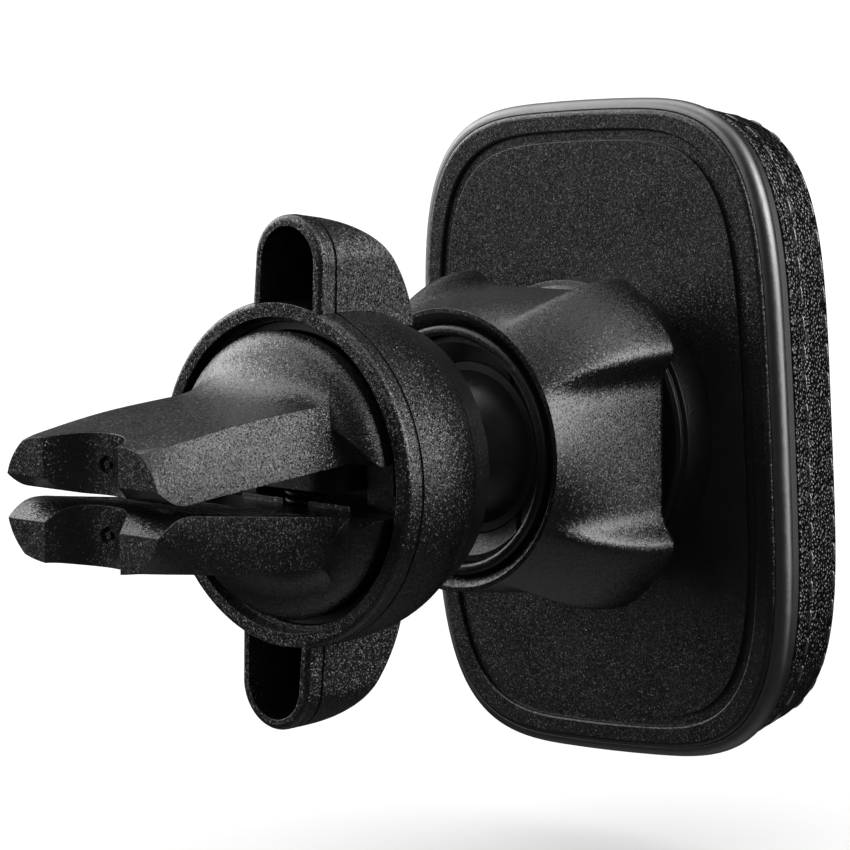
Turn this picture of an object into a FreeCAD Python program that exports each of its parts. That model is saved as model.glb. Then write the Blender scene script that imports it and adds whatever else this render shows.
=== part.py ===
"""Magnetic phone mount for a car's air vent, in millimetres.

+Y runs from the phone to the vent, +Z is up, and the origin is the centre of the face the phone
rests on. The head is a leather-covered magnet plate, carried by a ball joint with a lobed lock nut.
The clip is a pair of pivoted jaws that a winged knob closes on a vent blade.
"""
import FreeCAD, Part
import math
import os

V = FreeCAD.Vector
ORIGIN = V(0, 0, 0)
X_AXIS = V(1, 0, 0)
Y_AXIS = V(0, 1, 0)
Z_AXIS = V(0, 0, 1)

# --- driving dimensions -------------------------------------------------------------------------
FIT_GAP = 0.05            # gap between pieces that stay put on each other
RUN_GAP = 0.05            # radial gap between pieces that turn on each other

# Head: the oblong plate and its layers, in order from the phone
PLATE_HALF_W = 22.1       # rear rim, half width and half height
PLATE_HALF_H = 31.9
PLATE_POWER = 4.1         # exponent of the oblong outline: 2 is an ellipse, more is squarer
PLATE_T = 12.3            # phone face to rear rim
LEATHER_T = 1.2
LEATHER_PROUD = 0.45      # how far each layer stands outside the rear rim
LEATHER_FRONT_PROUD = -0.9
LEATHER_DEPTH = 8.45
LEATHER_EDGE_R = 1.8
CORE_PROUD = -2.1         # tray under the leather
BAND_PROUD = 0.3
BAND_DEPTH = 1.1
TRIM_PROUD = 1.04
TRIM_DEPTH = 2.3
RIM_WIDTH = 2.06
GROOVE_WIDTH = 1.0
GROOVE_DEPTH = 0.5
LIP_R = 0.2               # rounded lips of the groove
SHELL_WALL = 1.6
FOAM_T = 0.8
MAGNET_R = 5.0
MAGNET_T = 3.0
MAGNET_X = 6.0
MAGNET_Z = 15.5
YOKE_T = 1.0
YOKE_HALF_W = 11.4
YOKE_HALF_H = 21.5
TRAY_SCREW_X = 14.0
TRAY_SCREW_Z = 22.4
SCREW_R = 1.0
SCREW_HEAD_R = 1.85
SCREW_HEAD_H = 1.2
SCREW_SINK = 2.8          # depth of the tray's counterbores
POST_R = 3.0
SHELL_BORE_R = 4.0        # centres the socket on the shell
HEAD_SPIN = 3.2           # degrees the plate is turned about Y against the jaws

# Ball joint
BALL_R = 8.5              # the common 17 mm ball
BALL_Y = 26.3
NECK_R = 4.2
LINER_T = 0.75
COLLAR_R = 15.25
COLLAR_H = 4.4
THREAD_R = 11.9           # socket's outside and nut's inside, both plain at the pitch line
FINGER_END_Y = 32.3
FINGER_END_R = 10.9
MOUTH_R = 10.3
LIP_ANGLE = math.radians(63)   # how far round from the axis the socket's lip stands
FINGER_SLOTS = 2          # slots cut right across, so twice as many fingers
FINGER_SLOT_W = 1.0
PAD_R = 5.0
SOCKET_SCREW_PCD = 22.0

# Lock nut
NUT_REAR_Y = 18.7
NUT_FRONT_Y = 33.7
NUT_FRONT_R = 13.7
NUT_CREST_R = 19.0
NUT_VALLEY_R = 14.7
NUT_FLANK_START = math.radians(24)
NUT_FLANK_END = math.radians(32)
NUT_SWELL_POWER = 2.1     # how quickly the lobes swell out behind the round front
NUT_LOBES = 4
NUT_REAR_ROUND = 0.9
NUT_TURN = -3.0           # degrees the lobes are turned against the plate
NUT_CHAMBER_R = 12.65
NUT_CHAMBER_Y = 28.3

# Knob
KNOB_R = 16.0
KNOB_FRONT_Y = 56.4
KNOB_STEP_Y = 45.7        # the rear ring starts here
KNOB_REAR_Y = 41.9
KNOB_LIP_R = 14.5         # mouth round the jaws
KNOB_THREAD_R = 14.0
KNOB_TURN = -3.6          # degrees the wings are turned about Y at rest
WING_HALF_W = 4.3
WING_TOP_Z = 23.85
WING_WALL = 1.0
WING_REAR_Y = 44.3
STEP_LINE_Y = 54.5        # fine line that runs round ring and wings

# Clip body and jaws
HUB_BOSS_R = 8.0
HUB_REAR_Y = 40.6
HUB_FLANGE_R = 12.4
HUB_FRONT_Y = 47.5
SHANK_R = 3.5
TONGUE_HALF_W = 6.0
TONGUE_HALF_T = 1.3
TONGUE_END_Y = 55.6
CHEEK_IN_X = 7.2
CHEEK_END_Y = 52.5
CHEEK_R = 11.9
PIVOT_Y = 50.5
PIVOT_Z = 5.0
PIN_R = 1.0
LUG_R = 2.6
LUG_HALF_W = 7.0
JAW_BASE_Y = 53.5
JAW_BASE_R = 12.75
JAW_DISC_R = 13.3
JAW_TIP_Y = 80.5
JAW_ROOT_Y = 56.9         # the inner side turns here towards the tip
UPPER_ROOT_Z = 1.95       # half opening at the root, the lower jaw's a little more
LOWER_ROOT_Z = 2.9
GRIP_END_Y = 75.1
GRIP_END_Z = 0.65
FINGER_SECTIONS = (       # y, crown z, arch exponent, ridge x and z, foot x, side exponent
    (JAW_BASE_Y, 12.2, 2.2, 8.4, 7.6, 9.6, 1.6),
    (56.4, 12.1, 2.2, 8.4, 7.5, 9.6, 1.6),
    (57.8, 11.4, 2.2, 8.4, 7.4, 9.6, 1.6),
    (58.9, 10.35, 2.2, 8.4, 7.3, 9.6, 1.6),
    (60.1, 9.1, 2.3, 8.4, 7.22, 9.6, 1.6),
    (61.9, 8.0, 2.6, 8.4, 7.12, 9.6, 1.6),
    (64.8, 7.3, 3.2, 8.4, 6.95, 9.6, 1.6),
    (69.3, 6.75, 4.0, 8.4, 6.6, 9.6, 1.6),
    (74.3, 6.2, 4.0, 8.35, 5.98, 9.65, 1.7),
    (77.6, 5.86, 4.0, 8.15, 5.5, 9.75, 2.1),
    (JAW_TIP_Y, 5.65, 4.0, 7.6, 5.0, 9.9, 2.6),
)
DOME_SHOULDER = (         # radius, y
    (JAW_DISC_R, KNOB_FRONT_Y), (12.9, 57.2), (11.9, 58.15), (10.2, 58.95), (7.6, 59.5), (0, 59.7))
DOME_BLEND_R = 4.0
JAW_TIP_Z = 1.95          # inner side at the very tip
JAW_CLEAR = 14            # anything this far out is outside a jaw
NOTCH_R = 5.15
NOTCH_OUT = 1.75          # notch centre, beyond the tip
SPRING_Y = 53.6
SPRING_R = 1.35
SPRING_WIRE_R = 0.25
SPRING_TOP_Z = 4.9
RING_REAR_Y = 50.2
RING_FRONT_Y = 54.3
RING_GAP = 0.3            # closing ring to jaw heels

# --- worked out from the above ------------------------------------------------------------------
RIM_Y = PLATE_T
TRAY_FRONT_Y = LEATHER_T + FOAM_T + 2 * FIT_GAP
BAND_REAR_Y = LEATHER_DEPTH + BAND_DEPTH
COLLAR_TOP_Y = RIM_Y + COLLAR_H
PAD_FLOOR_Y = COLLAR_TOP_Y - 1.2
LINER_IN_R = BALL_R + RUN_GAP
LINER_OUT_R = LINER_IN_R + LINER_T
SOCKET_IN_R = LINER_OUT_R + 2 * RUN_GAP
CONE_SLOPE = (JAW_DISC_R - JAW_BASE_R) / (KNOB_FRONT_Y - JAW_BASE_Y)


# --- helpers ------------------------------------------------------------------------------------
def rod(radius, start, end, axis=Y_AXIS, at=ORIGIN):
    """Cylinder along an axis through `at`, from start to end along that axis."""
    return Part.makeCylinder(radius, end - start, at + axis * start, axis)


def box(x0, x1, y0, y1, z0, z1):
    return Part.makeBox(x1 - x0, y1 - y0, z1 - z0, V(x0, y0, z0))


def turned(profile):
    """Solid of revolution about Y from (radius, y) corners."""
    points = [V(r, y, 0) for r, y in profile]
    wire = Part.makePolygon(points + points[:1])
    return Part.Face(wire).revolve(ORIGIN, Y_AXIS, 360)


def tube(outer_r, inner_r, y0, y1):
    return rod(outer_r, y0, y1).cut(rod(inner_r, y0 - 1, y1 + 1))


def sphere(radius):
    return Part.makeSphere(radius, V(0, BALL_Y, 0), Y_AXIS)


def curve(points):
    """Smooth open curve through points."""
    spline = Part.BSplineCurve()
    spline.interpolate(points)
    return spline.toShape()


def closed_curve(points):
    spline = Part.BSplineCurve()
    spline.interpolate(Points=points, PeriodicFlag=True)
    return Part.Wire(spline.toShape())


def across(outline, x0, x1):
    """Extrudes a closed (y, z) wire along X."""
    face = Part.Face(outline)
    face.translate(V(x0, 0, 0))
    return face.extrude(V(x1 - x0, 0, 0))


def yz(y, z):
    return V(0, y, z)


def edges_at_y(shape, y, tol=1e-3):
    return [e for e in shape.Edges if abs(e.BoundBox.YMin - y) < tol and abs(e.BoundBox.YMax - y) < tol]


def longest(edges):
    return max(edges, key=lambda e: e.Length)


def both_signs():
    return (1, -1)


def four_corners(x, z):
    return [(sx * x, sz * z) for sx in both_signs() for sz in both_signs()]


# --- head ---------------------------------------------------------------------------------------
def oblong_outline(proud, y):
    """The plate's outline, grown by `proud` all round."""
    half_w = PLATE_HALF_W + proud
    half_h = PLATE_HALF_H + proud
    points = []
    steps = 48
    for i in range(steps):
        angle = 2 * math.pi * (i + 0.5) / steps
        c = math.cos(angle)
        s = math.sin(angle)
        x = math.copysign(abs(c) ** (2 / PLATE_POWER), c) * half_w
        z = math.copysign(abs(s) ** (2 / PLATE_POWER), s) * half_h
        points.append(V(x, y, z))
    return closed_curve(points)


def oblong(proud, y0, y1):
    return Part.Face(oblong_outline(proud, y0)).extrude(V(0, y1 - y0, 0))


def drafted_oblong(proud_front, proud_rear, y0, y1):
    """Prism whose sides lean in towards the phone."""
    return Part.makeLoft([oblong_outline(proud_front, y0), oblong_outline(proud_rear, y1)], True, True)


def oblong_ring(proud_out, proud_in, y0, y1):
    return oblong(proud_out, y0, y1).cut(oblong(proud_in, y0 - 1, y1 + 1))


def leather_cover():
    skin = drafted_oblong(LEATHER_FRONT_PROUD, LEATHER_PROUD, 0, LEATHER_DEPTH)
    skin = skin.makeFillet(LEATHER_EDGE_R, [longest(edges_at_y(skin, 0))])
    return skin.cut(oblong(CORE_PROUD + FIT_GAP, LEATHER_T, LEATHER_DEPTH + 1))


def foam_pad():
    y0 = LEATHER_T + FIT_GAP
    return oblong(CORE_PROUD - 0.5, y0, y0 + FOAM_T)


def magnet_places():
    return [(x, z) for x in (-MAGNET_X, MAGNET_X) for z in (-MAGNET_Z, 0, MAGNET_Z)]


def magnets():
    y0 = TRAY_FRONT_Y + FIT_GAP
    discs = [rod(MAGNET_R, y0, y0 + MAGNET_T, at=V(x, 0, z)) for x, z in magnet_places()]
    return Part.makeCompound([d.makeFillet(0.3, d.Edges) for d in discs])


def steel_yoke():
    y0 = TRAY_FRONT_Y + MAGNET_T + 3 * FIT_GAP
    plate = box(-YOKE_HALF_W, YOKE_HALF_W, y0, y0 + YOKE_T, -YOKE_HALF_H, YOKE_HALF_H)
    corners = [e for e in plate.Edges if abs(e.Length - YOKE_T) < 1e-6]
    return plate.makeFillet(3.0, corners)


def magnet_tray():
    """Moulded frame: its edge shows as the flat band between leather and trim."""
    floor_y = TRAY_FRONT_Y + MAGNET_T + 2 * FIT_GAP
    tray = oblong(CORE_PROUD, TRAY_FRONT_Y, BAND_REAR_Y)
    tray = tray.fuse(oblong(BAND_PROUD, LEATHER_DEPTH + FIT_GAP, BAND_REAR_Y))
    tray = tray.cut(oblong(CORE_PROUD - SHELL_WALL, floor_y, BAND_REAR_Y + 1))
    for x, z in magnet_places():
        tray = tray.cut(rod(MAGNET_R + FIT_GAP, TRAY_FRONT_Y - 1, floor_y + 1, at=V(x, 0, z)))
    for x, z in four_corners(TRAY_SCREW_X, TRAY_SCREW_Z):
        tray = tray.fuse(rod(POST_R, floor_y - 1, BAND_REAR_Y, at=V(x, 0, z)))
        tray = tray.cut(rod(SCREW_HEAD_R + 0.25, TRAY_FRONT_Y - 1, TRAY_FRONT_Y + SCREW_SINK, at=V(x, 0, z)))
        tray = tray.cut(rod(SCREW_R + 0.1, TRAY_FRONT_Y, BAND_REAR_Y + 1, at=V(x, 0, z)))
    return tray


def rear_shell():
    """Back cover: a flat rim, a shallow groove and a grained panel."""
    y0 = BAND_REAR_Y + FIT_GAP
    shell = oblong(0, y0, RIM_Y)
    shell = shell.makeFillet(0.5, [longest(edges_at_y(shell, RIM_Y))])
    groove = oblong_ring(-RIM_WIDTH, -RIM_WIDTH - GROOVE_WIDTH, RIM_Y - GROOVE_DEPTH, RIM_Y + 1)
    shell = shell.cut(groove)
    lips = sorted(edges_at_y(shell, RIM_Y), key=lambda e: e.Length)[-2:]
    shell = shell.makeFillet(LIP_R, lips)
    inside = oblong(-SHELL_WALL, y0 - 1, RIM_Y - SHELL_WALL)
    for x, z in four_corners(TRAY_SCREW_X, TRAY_SCREW_Z):
        inside = inside.cut(rod(POST_R, y0 - 1, RIM_Y, at=V(x, 0, z)))
    shell = shell.cut(inside)
    for x, z in four_corners(TRAY_SCREW_X, TRAY_SCREW_Z):
        shell = shell.cut(rod(SCREW_R + RUN_GAP, y0 - 1, RIM_Y - 0.6, at=V(x, 0, z)))
    for x, z in socket_screw_places():
        shell = shell.cut(rod(SCREW_R + 0.15, y0, RIM_Y + 1, at=V(x, 0, z)))
    return shell.cut(rod(SHELL_BORE_R + FIT_GAP, y0, RIM_Y + 1))


def trim_ring():
    """Convex bead round the shell's edge."""
    y0 = BAND_REAR_Y + FIT_GAP
    bead = oblong(TRIM_PROUD, y0, y0 + TRIM_DEPTH)
    rims = [longest(edges_at_y(bead, y)) for y in (y0, y0 + TRIM_DEPTH)]
    bead = bead.makeFillet(0.48 * TRIM_DEPTH, rims)
    return bead.cut(oblong(FIT_GAP, y0 - 1, y0 + TRIM_DEPTH + 1))


def pan_screw(x, z, seat_y, end_y):
    """Small cross-slotted pan-head screw with its point towards +Y."""
    head_y = seat_y - SCREW_HEAD_H
    head = rod(SCREW_HEAD_R, head_y, seat_y, at=V(x, 0, z))
    head = head.makeFillet(0.5, edges_at_y(head, head_y))
    for long_x, long_z in ((1.1, 0.22), (0.22, 1.1)):
        head = head.cut(box(x - long_x, x + long_x, head_y - 1, head_y + 0.3, z - long_z, z + long_z))
    return head.fuse(rod(SCREW_R, seat_y, end_y, at=V(x, 0, z)))


def tray_screws():
    seat_y = TRAY_FRONT_Y + SCREW_SINK - FIT_GAP
    places = four_corners(TRAY_SCREW_X, TRAY_SCREW_Z)
    return Part.makeCompound([pan_screw(x, z, seat_y, RIM_Y - 0.8) for x, z in places])


def socket_screw_places():
    angles = [math.radians(45 + 90 * i) for i in range(4)]
    radius = SOCKET_SCREW_PCD / 2
    return [(radius * math.cos(a), radius * math.sin(a)) for a in angles]


def socket_screws():
    seat_y = RIM_Y - SHELL_WALL - FIT_GAP
    return Part.makeCompound([pan_screw(x, z, seat_y, COLLAR_TOP_Y - 0.8) for x, z in socket_screw_places()])


# --- ball joint ---------------------------------------------------------------------------------
def ball_socket():
    """Collar, thread and split fingers round a spherical seat."""
    step_r = COLLAR_R - 0.55
    outside = turned([
        (0, RIM_Y + FIT_GAP), (COLLAR_R, RIM_Y + FIT_GAP), (COLLAR_R, COLLAR_TOP_Y - 0.7),
        (step_r, COLLAR_TOP_Y - 0.6), (step_r, COLLAR_TOP_Y - 0.25), (step_r - 0.4, COLLAR_TOP_Y),
        (THREAD_R - RUN_GAP, COLLAR_TOP_Y), (THREAD_R - RUN_GAP, NUT_CHAMBER_Y - 0.4),
        (FINGER_END_R, FINGER_END_Y), (0, FINGER_END_Y)])
    outside = outside.fuse(rod(SHELL_BORE_R, RIM_Y - SHELL_WALL + 0.2, RIM_Y + 1))
    lip_y = BALL_Y + SOCKET_IN_R * math.cos(LIP_ANGLE)
    lip_r = SOCKET_IN_R * math.sin(LIP_ANGLE)
    mouth = turned([
        (0, lip_y - 0.01), (lip_r, lip_y - 0.01), (MOUTH_R, FINGER_END_Y + 0.01), (0, FINGER_END_Y + 0.01)])
    socket = outside.cut(sphere(SOCKET_IN_R)).cut(mouth)
    socket = socket.cut(rod(PAD_R + FIT_GAP, PAD_FLOOR_Y, BALL_Y))
    for i in range(FINGER_SLOTS):
        half_w = FINGER_SLOT_W / 2
        slot = box(-COLLAR_R, COLLAR_R, NUT_REAR_Y + 3, FINGER_END_Y + 1, -half_w, half_w)
        slot.rotate(ORIGIN, Y_AXIS, 180 / FINGER_SLOTS * (i + 0.5))
        socket = socket.cut(slot)
    for x, z in socket_screw_places():
        socket = socket.cut(rod(SCREW_R + FIT_GAP, RIM_Y - 1, COLLAR_TOP_Y - 0.6, at=V(x, 0, z)))
    return socket


def friction_pad():
    return rod(PAD_R, PAD_FLOOR_Y + FIT_GAP, BALL_Y - 5).cut(sphere(LINER_OUT_R + RUN_GAP))


def ball_liner():
    """Thin nylon cup that wraps the ball from behind to just past its widest section."""
    shell = sphere(LINER_OUT_R).cut(sphere(LINER_IN_R))
    return shell.cut(rod(2 * BALL_R, BALL_Y + LINER_OUT_R * math.cos(LIP_ANGLE), BALL_Y + 2 * BALL_R))


def ball_stud():
    end_y = HUB_REAR_Y - FIT_GAP
    neck = turned([(0, BALL_Y), (NECK_R, BALL_Y), (NECK_R, 37.5), (5.6, end_y), (0, end_y)])
    shank = rod(SHANK_R, HUB_REAR_Y - 1, HUB_FRONT_Y - 1.0)
    return sphere(BALL_R).fuse(neck).fuse(shank).removeSplitter()


def nut_rear_radius(angle):
    """Four rounded lobes with a flat-bottomed scallop between each pair."""
    pitch = 2 * math.pi / NUT_LOBES
    from_valley = abs((angle + pitch / 2) % pitch - pitch / 2)
    flat = NUT_VALLEY_R / math.cos(from_valley)
    rise = (from_valley - NUT_FLANK_START) / (NUT_FLANK_END - NUT_FLANK_START)
    rise = min(max(rise, 0.0), 1.0)
    rise = rise * rise * (3 - 2 * rise)
    return flat + (NUT_CREST_R - flat) * rise


def nut_section(depth):
    """Closed outline of the nut, from the round front (depth 0) to the lobed rear (depth 1)."""
    swell = 1 - (1 - depth) ** NUT_SWELL_POWER
    y = NUT_FRONT_Y + (NUT_REAR_Y - NUT_FRONT_Y) * depth
    points = []
    steps = 96
    for i in range(steps):
        angle = 2 * math.pi * i / steps
        radius = NUT_FRONT_R + (nut_rear_radius(angle) - NUT_FRONT_R) * swell
        points.append(V(radius * math.cos(angle), y, radius * math.sin(angle)))
    return closed_curve(points)


def lock_nut():
    body = Part.makeLoft([nut_section(i / 6) for i in range(7)], True, False)
    body = body.makeFillet(NUT_REAR_ROUND, [longest(edges_at_y(body, NUT_REAR_Y))])
    hollow = turned([
        (0, NUT_REAR_Y - 1), (THREAD_R + 0.6, NUT_REAR_Y - 1), (THREAD_R + 0.6, NUT_REAR_Y + 0.4),
        (THREAD_R + RUN_GAP, NUT_REAR_Y + 1), (THREAD_R + RUN_GAP, NUT_CHAMBER_Y),
        (NUT_CHAMBER_R, NUT_CHAMBER_Y), (NUT_CHAMBER_R, NUT_FRONT_Y - 1.2),
        (NUT_CHAMBER_R - 0.5, NUT_FRONT_Y - 1.2), (NUT_CHAMBER_R - 0.5, NUT_FRONT_Y - 0.9),
        (NUT_FRONT_R - 0.45, NUT_FRONT_Y + 0.01), (0, NUT_FRONT_Y + 0.01)])
    nut = body.cut(hollow)
    nut.rotate(ORIGIN, Y_AXIS, NUT_TURN)
    return nut


def nut_clamp_ring():
    """Tapered ring in the nut's mouth: it slides with the nut and squeezes the fingers."""
    slope = (THREAD_R - FINGER_END_R) / (FINGER_END_Y - NUT_CHAMBER_Y + 0.4)
    y0 = NUT_CHAMBER_Y + FIT_GAP
    shoulder_y = NUT_FRONT_Y - 1.2 - FIT_GAP
    nose_r = NUT_CHAMBER_R - 0.5 - RUN_GAP
    rear_in_r = THREAD_R + 0.1 - slope * 0.4
    front_in_r = FINGER_END_R + 0.1
    ring = turned([
        (rear_in_r, y0), (NUT_CHAMBER_R - RUN_GAP, y0), (NUT_CHAMBER_R - RUN_GAP, shoulder_y),
        (nose_r, shoulder_y), (nose_r, NUT_FRONT_Y), (front_in_r, NUT_FRONT_Y), (front_in_r, FINGER_END_Y)])
    return ring.makeFillet(0.45, edges_at_y(ring, NUT_FRONT_Y))


# --- knob ---------------------------------------------------------------------------------------
def wing_block(inset, front_y):
    """One solid ear: a rounded upright seen from the front, swept back to the ring from the side."""
    half_w = WING_HALF_W - inset
    top_z = WING_TOP_Z - inset
    shoulder_z = top_z - half_w * 1.02
    base = [V(-half_w - 0.25, 0, KNOB_R - 4), V(half_w + 0.25, 0, KNOB_R - 4)]
    right = V(half_w, 0, shoulder_z)
    left = V(-half_w, 0, shoulder_z)
    front = Part.Wire([
        Part.makeLine(base[0], base[1]), Part.makeLine(base[1], right),
        Part.Arc(right, V(0, 0, top_z), left).toShape(), Part.makeLine(left, base[0])])
    upright = Part.Face(front).extrude(V(0, front_y + 1, 0))
    rear_y = WING_REAR_Y + inset
    heel = yz(rear_y, top_z - 9.7)
    sweep = curve([
        yz(front_y, top_z + 0.01), yz(51.9, top_z - 0.7), yz(48.5 + 0.3 * inset, top_z - 2.5),
        yz(46.2 + 0.7 * inset, top_z - 5.1), yz(rear_y + 0.5, top_z - 7.9), heel])
    floor = [yz(rear_y, KNOB_R - 4), yz(front_y, KNOB_R - 4)]
    side = Part.Wire([
        sweep, Part.makeLine(heel, floor[0]), Part.makeLine(floor[0], floor[1]),
        Part.makeLine(floor[1], yz(front_y, top_z + 0.01))])
    wing = upright.common(across(side, -2 * WING_HALF_W, 2 * WING_HALF_W))
    return wing.cut(rod(KNOB_R - 1.8, 0, KNOB_STEP_Y))


def ring_block(inset):
    """Outside of the knob's barrel."""
    r = KNOB_R - inset
    side = curve([
        V(r, 53.3, 0), V(r - 0.05, 51.3, 0), V(r - 0.35, 48.9, 0), V(r - 0.95, 46.9, 0), V(r - 1.6, KNOB_STEP_Y, 0)])
    lines = Part.makePolygon([V(r - 1.6, KNOB_STEP_Y, 0), V(0, KNOB_STEP_Y, 0), V(0, KNOB_FRONT_Y, 0),
                              V(r, KNOB_FRONT_Y, 0), V(r, 53.3, 0)])
    return Part.Face(Part.Wire([side] + lines.Edges)).revolve(ORIGIN, Y_AXIS, 360)


def knob_outside(inset):
    wing = wing_block(inset, KNOB_FRONT_Y)
    other = wing.copy()
    other.rotate(ORIGIN, Y_AXIS, 180)
    return ring_block(inset).fuse([wing, other])


def wing_knob():
    knob = knob_outside(0)
    knob = knob.makeFillet(0.55, edges_at_y(knob, KNOB_FRONT_Y))
    line = box(-30, 30, STEP_LINE_Y - 0.15, STEP_LINE_Y + 0.15, -30, 30).cut(knob_outside(0.18))
    knob = knob.cut(line)
    pocket = wing_block(WING_WALL, KNOB_FRONT_Y + 1).cut(rod(KNOB_R - 0.2, 0, 100))
    other = pocket.copy()
    other.rotate(ORIGIN, Y_AXIS, 180)
    knob = knob.cut(pocket).cut(other)
    knob = knob.cut(rod(KNOB_THREAD_R, KNOB_STEP_Y - 1, KNOB_FRONT_Y + 1))
    knob = knob.cut(rod(KNOB_LIP_R, KNOB_FRONT_Y - 1.6, KNOB_FRONT_Y + 1))
    knob.rotate(ORIGIN, Y_AXIS, KNOB_TURN)
    return knob


def knob_rear_ring():
    """Cap pressed into the back of the knob: it turns on the hub's boss."""
    face_y = HUB_FRONT_Y - 2.1 - FIT_GAP
    spigot_r = KNOB_THREAD_R - FIT_GAP
    profile = [
        (HUB_BOSS_R + RUN_GAP, KNOB_REAR_Y), (12.4, KNOB_REAR_Y), (13.2, KNOB_REAR_Y + 0.7),
        (KNOB_R - 1.9, KNOB_STEP_Y - FIT_GAP), (spigot_r, KNOB_STEP_Y - FIT_GAP), (spigot_r, HUB_FRONT_Y - 0.2),
        (HUB_FLANGE_R + 0.3, HUB_FRONT_Y - 0.2), (HUB_FLANGE_R + 0.3, face_y), (HUB_BOSS_R + RUN_GAP, face_y)]
    return turned(profile)


def knob_snap_ring():
    ring = tube(HUB_BOSS_R + 1.0, HUB_BOSS_R - 0.55, HUB_REAR_Y + 0.45, HUB_REAR_Y + 1.2)
    return ring.cut(box(-2.2, 2.2, 0, 100, -30, 0))


def closing_ring():
    """Non-turning tapered ring on the knob's thread: two keys ride in slots in the hub's cheeks."""
    rear_in = JAW_BASE_R + RING_GAP + CONE_SLOPE * (RING_REAR_Y - JAW_BASE_Y)
    front_in = JAW_BASE_R + RING_GAP + CONE_SLOPE * (RING_FRONT_Y - JAW_BASE_Y)
    outer_r = KNOB_THREAD_R - RUN_GAP
    ring = turned([(rear_in, RING_REAR_Y), (outer_r, RING_REAR_Y), (outer_r, RING_FRONT_Y), (front_in, RING_FRONT_Y)])
    for side in both_signs():
        inner = side * (CHEEK_R - 1.2)
        outer = side * (rear_in + 0.4)
        key = box(min(inner, outer), max(inner, outer), RING_REAR_Y, RING_REAR_Y + 1.6, -1.2, 1.2)
        ring = ring.fuse(key)
    return ring


# --- clip body and jaws -------------------------------------------------------------------------
def clip_body():
    """Hub for the knob, with two cheeks for the pins and a tongue between the jaws."""
    flange_y = HUB_FRONT_Y - 2.1
    body = rod(HUB_BOSS_R, HUB_REAR_Y, HUB_FRONT_Y).fuse(rod(HUB_FLANGE_R, flange_y, HUB_FRONT_Y))
    body = body.cut(tube(HUB_BOSS_R + 1, HUB_BOSS_R - 0.6, HUB_REAR_Y + 0.4, HUB_REAR_Y + 1.25))
    for side in both_signs():
        x_in = side * CHEEK_IN_X
        x_out = side * CHEEK_R
        cheek = box(min(x_in, x_out), max(x_in, x_out), HUB_FRONT_Y - 1, CHEEK_END_Y, -8.2, 8.2)
        body = body.fuse(cheek.common(rod(CHEEK_R, 0, 100)))
        slot_in = side * (CHEEK_R - 1.4)
        slot = box(min(slot_in, 2 * x_out), max(slot_in, 2 * x_out), HUB_FRONT_Y, CHEEK_END_Y + 1, -1.35, 1.35)
        body = body.cut(slot)
    tongue = box(-TONGUE_HALF_W, TONGUE_HALF_W, HUB_FRONT_Y - 1, TONGUE_END_Y, -TONGUE_HALF_T, TONGUE_HALF_T)
    uprights = [e for e in tongue.Edges if abs(e.BoundBox.ZLength - 2 * TONGUE_HALF_T) < 1e-6
                and e.BoundBox.YMin > TONGUE_END_Y - 0.1]
    body = body.fuse(tongue.makeFillet(3.0, uprights))
    for side in both_signs():
        hole = rod(PIN_R + 0.02, -30, 30, axis=X_AXIS, at=yz(PIVOT_Y, side * PIVOT_Z))
        body = body.cut(hole)
    return body.cut(rod(SHANK_R + FIT_GAP, HUB_REAR_Y - 1, HUB_FRONT_Y - 1.0 + FIT_GAP))


def jaw_pin():
    pin = rod(PIN_R, -9.6, 9.6, axis=X_AXIS, at=yz(PIVOT_Y, PIVOT_Z))
    ends = [e for e in pin.Edges if e.BoundBox.XLength < 1e-6]
    return pin.makeChamfer(0.2, ends)


def grip_line(y, root_z):
    """Height of the gripping face, which closes in a straight line from the root to the tip."""
    share = (y - JAW_ROOT_Y) / (GRIP_END_Y - JAW_ROOT_Y)
    return root_z + (GRIP_END_Z - root_z) * share


def grip_profile(root_z):
    """Edges of a jaw's inner side, from its base to its tip: flat, then a low bump with a lead-in."""
    grip_end = yz(GRIP_END_Y, GRIP_END_Z)
    base = Part.makePolygon([yz(JAW_BASE_Y, root_z), yz(JAW_ROOT_Y, root_z), grip_end])
    bump = curve([grip_end, yz(76.9, 0.47), yz(78.3, 0.62), yz(79.5, 1.2), yz(JAW_TIP_Y, JAW_TIP_Z)])
    return base.Edges + [bump]


def finger_section(y, crown, arch, ridge_x, ridge_z, foot_x, belly):
    """Cross-section of the finger: an arched top between two ridges, and sides that lean out below them."""
    def top(share):
        return V(share * ridge_x, y, crown - (crown - ridge_z) * abs(share) ** arch)

    def side(share, sign):
        return V(sign * (foot_x - (foot_x - ridge_x) * share ** belly), y, ridge_z * share)

    crossing = (1, 0.93, 0.82, 0.66, 0.42, 0, -0.42, -0.66, -0.82, -0.93, -1)
    climbing = (0, 0.35, 0.6, 0.8, 0.92, 1)
    return Part.Wire([
        Part.makeLine(side(0, -1), side(0, 1)),
        curve([side(share, 1) for share in climbing]),
        curve([top(share) for share in crossing]),
        curve([side(share, -1) for share in reversed(climbing)])])


def jaw_finger(root_z):
    """Long tapering finger, lofted from the dome to the tip, then cut to its inner side."""
    finger = Part.makeLoft([finger_section(*section) for section in FINGER_SECTIONS], True, False)
    inner = grip_profile(root_z)
    over = Part.makePolygon([
        yz(JAW_TIP_Y, JAW_TIP_Z), yz(JAW_TIP_Y, JAW_CLEAR), yz(JAW_BASE_Y, JAW_CLEAR), yz(JAW_BASE_Y, root_z)])
    kept = across(Part.Wire(inner + over.Edges), -JAW_CLEAR, JAW_CLEAR)
    return finger.common(kept)


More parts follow.
